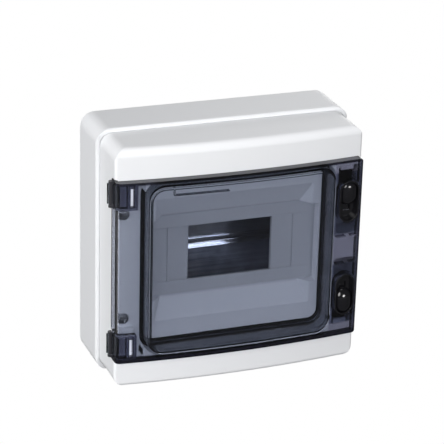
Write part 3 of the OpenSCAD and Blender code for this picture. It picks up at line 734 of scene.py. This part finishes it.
def half_line(x, side):
    """The upper (1) or lower (-1) half of the line, from the lip's edge to the web."""
    line = []
    for step in range(7):
        reach = LIP_LENGTH * (1 - step / 6)
        share = reach / LIP_LENGTH
        slope = lip_tilt(x) + 0.09 * share if side < 0 else 0.02
        line.append((LIP_DEPTH + slope * reach, side * (WALL_Z + BEND + reach)))
    for centre_depth, centre_z, start in (
        (LIP_DEPTH - BEND, WALL_Z + BEND, 0),
        (WEB_DEPTH + BEND, WALL_Z - BEND, 1),
    ):
        for step in range(1, 7):
            turn = math.radians(15 * step)
            if start == 0:
                depth = centre_depth + BEND * math.cos(turn)
                z = centre_z - BEND * math.sin(turn)
            else:
                depth = centre_depth - BEND * math.sin(turn)
                z = centre_z + BEND * math.cos(turn)
            line.append((depth, side * z))
    return line


def rail_ring(x):
    """The closed outline of the sheet at one place along the rail."""
    line = half_line(x, 1) + half_line(x, -1)[::-1]
    front, rear = [], []
    for i, (depth, z) in enumerate(line):
        before, after = line[max(i - 1, 0)], line[min(i + 1, len(line) - 1)]
        run = Vector((after[0] - before[0], after[1] - before[1])).normalized()
        across = Vector((-run.y, run.x)) * SHEET_HALF
        front.append((x, depth + across.x, z + across.y))
        rear.append((x, depth - across.x, z - across.y))
    return front + rear[::-1]


# %% Skin the rail, then punch its two slots
bm = bmesh.new()
stack_mesh(bm, [rail_ring(-RAIL_HALF + step * 2.5) for step in range(61)])
rail = to_object("rail", bm, rail_metal, 40)

bm = bmesh.new()
for x in (-65, 65):
    rings = []
    for depth in (7, 12):
        ring = oval_ring(0, 0, 2.6, 10, depth, 24)
        rings.append([(x + z, d, across) for across, d, z in ring])
    stack_mesh(bm, rings)
slots = to_object("rail_slots", bm, rail_metal)
punch = rail.modifiers.new("slots", "BOOLEAN")
punch.operation = "DIFFERENCE"
punch.solver = "EXACT"
punch.object = slots


def settle(piece):
    """Turn a piece's modifiers into its plain mesh."""
    graph = bpy.context.evaluated_depsgraph_get()
    mesh = bpy.data.meshes.new_from_object(piece.evaluated_get(graph))
    piece.modifiers.clear()
    piece.data = mesh
    return piece


settle(rail)
bpy.data.objects.remove(slots)
rail.data.materials.clear()
rail.data.materials.append(rail_metal)
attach(rail, "housing")
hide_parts("din_rail")
print("rail faces:", len(rail.data.polygons))

# %% [markdown]
# ## Screws
#
# Real screw heads are domed and carry a cross or a slot, which is what catches the light.
# One model screw is turned from a short list of depths and radii, its drive is cut by a
# Boolean, and Geometry Nodes set a copy on each place. Every copy is turned by its own
# angle, because no fitter leaves all crosses straight.

# %% The node group that sets a piece on points
set_group = bpy.data.node_groups.new("set_on_points", "GeometryNodeTree")
GEOMETRY = "NodeSocketGeometry"
set_group.interface.new_socket("Points", in_out="INPUT", socket_type=GEOMETRY)
piece_socket = set_group.interface.new_socket(
    "Piece", in_out="INPUT", socket_type="NodeSocketObject"
)
turn_socket = set_group.interface.new_socket("Turn", in_out="INPUT", socket_type=FLOAT)
finish_socket = set_group.interface.new_socket(
    "Finish", in_out="INPUT", socket_type="NodeSocketMaterial"
)
set_group.interface.new_socket("Geometry", in_out="OUTPUT", socket_type=GEOMETRY)
set_in = set_group.nodes.new("NodeGroupInput")
set_out = set_group.nodes.new("NodeGroupOutput")
source = add_node(set_group, "GeometryNodeObjectInfo", {"Object": set_in.outputs["Piece"]})
number = add_node(set_group, "GeometryNodeInputIndex")
angle = add_node(
    set_group, "ShaderNodeMath",
    {0: number.outputs[0], 1: set_in.outputs["Turn"]}, operation="MULTIPLY",
)
turned = add_node(set_group, "ShaderNodeCombineXYZ", {"Y": angle.outputs[0]})
copies = add_node(
    set_group, "GeometryNodeInstanceOnPoints",
    {
        "Points": set_in.outputs["Points"],
        "Instance": source.outputs["Geometry"],
        "Rotation": turned.outputs[0],
    },
)
real = add_node(
    set_group, "GeometryNodeRealizeInstances", {"Geometry": copies.outputs["Instances"]}
)
painted = add_node(
    set_group, "GeometryNodeSetMaterial",
    {"Geometry": real.outputs["Geometry"], "Material": set_in.outputs["Finish"]},
)
set_group.links.new(painted.outputs["Geometry"], set_out.inputs["Geometry"])


# %% Turning and cutting the model screw
def turned_screw(head, thick, shank, length, cross, slot_width, sides=32):
    """A screw whose seat is at the origin: dome in front, shank behind."""
    profile = [(-length, shank * 0.6), (-length + shank, shank), (-0.02, shank), (0, head)]
    profile += [(thick * 0.45, head)]
    for step in range(1, 7):
        turn = math.radians(90 * step / 7)
        profile.append(
            (thick * (0.45 + 0.55 * math.sin(turn)), head * (0.3 + 0.7 * math.cos(turn)))
        )
    bm = bmesh.new()
    stack_mesh(bm, [oval_ring(0, 0, radius, 0, depth, sides) for depth, radius in profile])
    screw = to_object("model_screw", bm, screw_metal)
    bm = bmesh.new()
    half, low, high = slot_width / 2, thick * 0.4, thick + 1
    reach = head * 0.62 if cross else head + 1
    block_mesh(bm, -reach, reach, low, high, -half, half)
    cutter = to_object("drive_cutter", bm, screw_metal)
    parts = [cutter]
    if cross:
        bm = bmesh.new()
        block_mesh(bm, -half, half, low, high, -reach, reach)
        parts.append(to_object("drive_cutter_2", bm, screw_metal))
    for part in parts:
        cut = screw.modifiers.new("drive", "BOOLEAN")
        cut.operation = "DIFFERENCE"
        cut.solver = "EXACT"
        cut.object = part
    settle(screw)
    for part in parts:
        bpy.data.objects.remove(part)
    return screw


def set_screws(name, places, replaced, turn, **shape):
    """Copies of one turned screw at places (X, seat depth, Z), in place of CAD nodes."""
    model = turned_screw(**shape)
    points = bpy.data.meshes.new(name)
    points.from_pydata([(x * MM, -d * MM, z * MM) for x, d, z in places], [], [])
    piece = bpy.data.objects.new(name, points)
    bpy.context.scene.collection.objects.link(piece)
    setter = piece.modifiers.new("set", "NODES")
    setter.node_group = set_group
    setter[piece_socket.identifier] = model
    setter[turn_socket.identifier] = turn
    setter[finish_socket.identifier] = screw_metal
    settle(piece)
    bpy.data.objects.remove(model)
    for face in piece.data.polygons:
        face.use_smooth = True
    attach(piece, "housing")
    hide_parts(*replaced)
    print(name, "screws:", len(places), "faces:", len(piece.data.polygons))
    return piece


# %% Screws of the cover, the rail and the terminal bars
LEFT_SEAT, RIGHT_SEAT = 75.4, 66.8
cover_places = [
    (x, LEFT_SEAT if x < 0 else RIGHT_SEAT, z) for x in (-94.5, 94.5) for z in (-45, 45)
]
set_screws(
    "cover_screw_set", cover_places, ["cover_screws"], 0.7,
    head=4.4, thick=3.0, shank=2.0, length=46.8, cross=True, slot_width=1.1,
)
set_screws(
    "rail_screw_set", [(-65, 9.5, 0), (65, 9.5, 0)], ["rail_screws"], 0.4,
    head=4.0, thick=2.6, shank=1.8, length=6, cross=True, slot_width=1.0,
)
bar_places = [((i - 4) * 9, 28.5, z) for z in (-70, 70) for i in range(9)]
set_screws(
    "terminal_screw_set", bar_places, ["terminal_screws_upper", "terminal_screws_lower"], 0.9,
    head=2.8, thick=2.0, shank=1.7, length=1.7, cross=False, slot_width=0.8,
)
set_screws(
    "holder_screw_set", [(x, 28.5, z) for x in (-46, 46) for z in (-70, 70)],
    ["holder_screws"], 1.1,
    head=2.8, thick=2.0, shank=1.5, length=27.1, cross=True, slot_width=0.8,
)

# %% [markdown]
# ## Latch knobs
#
# Each latch is a glossy black knob in an oval cup. It is moulded as a soft dome, so a small
# round glint sits on it wherever it stands. A stem goes through the slot in the cup. Behind
# the slot a thin shutter keeps dirt out, and a flat bolt slides under the cover's keeper.

# %% One knob with its stem and bolt
LATCH_X, LATCH_Z = 91, 41
KNOB_R = 7.35
KNOB_HIGH, KNOB_LOW = 16.35, -4.35
KNOB_BASE = 88.1


def latch_knob(name, side, body, replaced):
    """A smooth oval dome on a stem, with the bolt behind."""
    middle = side * (LATCH_Z + (KNOB_HIGH + KNOB_LOW) / 2)
    length = KNOB_HIGH - KNOB_LOW
    straight = length - 2 * KNOB_R
    rings = [oval_ring(LATCH_X, middle, KNOB_R - 0.3, straight, KNOB_BASE)]
    rings.append(oval_ring(LATCH_X, middle, KNOB_R, straight, KNOB_BASE + 0.3))
    for step in range(13):
        turn = math.radians(87 * step / 12)
        rings.append(
            oval_ring(
                LATCH_X, middle + side * 2 * math.sin(turn),
                KNOB_R * math.cos(turn) ** 0.8, straight * math.cos(turn) ** 0.5,
                KNOB_BASE + 1.0 + 5.0 * math.sin(turn),
            )
        )
    bm = bmesh.new()
    stack_mesh(bm, rings)
    block_mesh(bm, LATCH_X - 2.6, LATCH_X + 2.6, 82.4, KNOB_BASE + 0.5, middle - 3, middle + 3)
    low, high = sorted((middle - side * 15.5, middle + side * 4))
    block_mesh(bm, LATCH_X - 4.2, LATCH_X + 4.2, 84.9, 85.9, low, high)
    low, high = sorted((middle - side * 4, side * 65.7))
    block_mesh(bm, LATCH_X - 5, LATCH_X + 5, 79, 82.5, low, high)
    knob = to_object(name, bm, black_plastic, 40)
    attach(knob, body)
    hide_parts(replaced)
    return knob


for name, side, body, replaced in (
    ("upper_knob", 1, "upper_latch", "latch_upper"),
    ("lower_knob", -1, "lower_latch", "latch_lower"),
):
    print(name, "faces:", len(latch_knob(name, side, body, replaced).data.polygons))
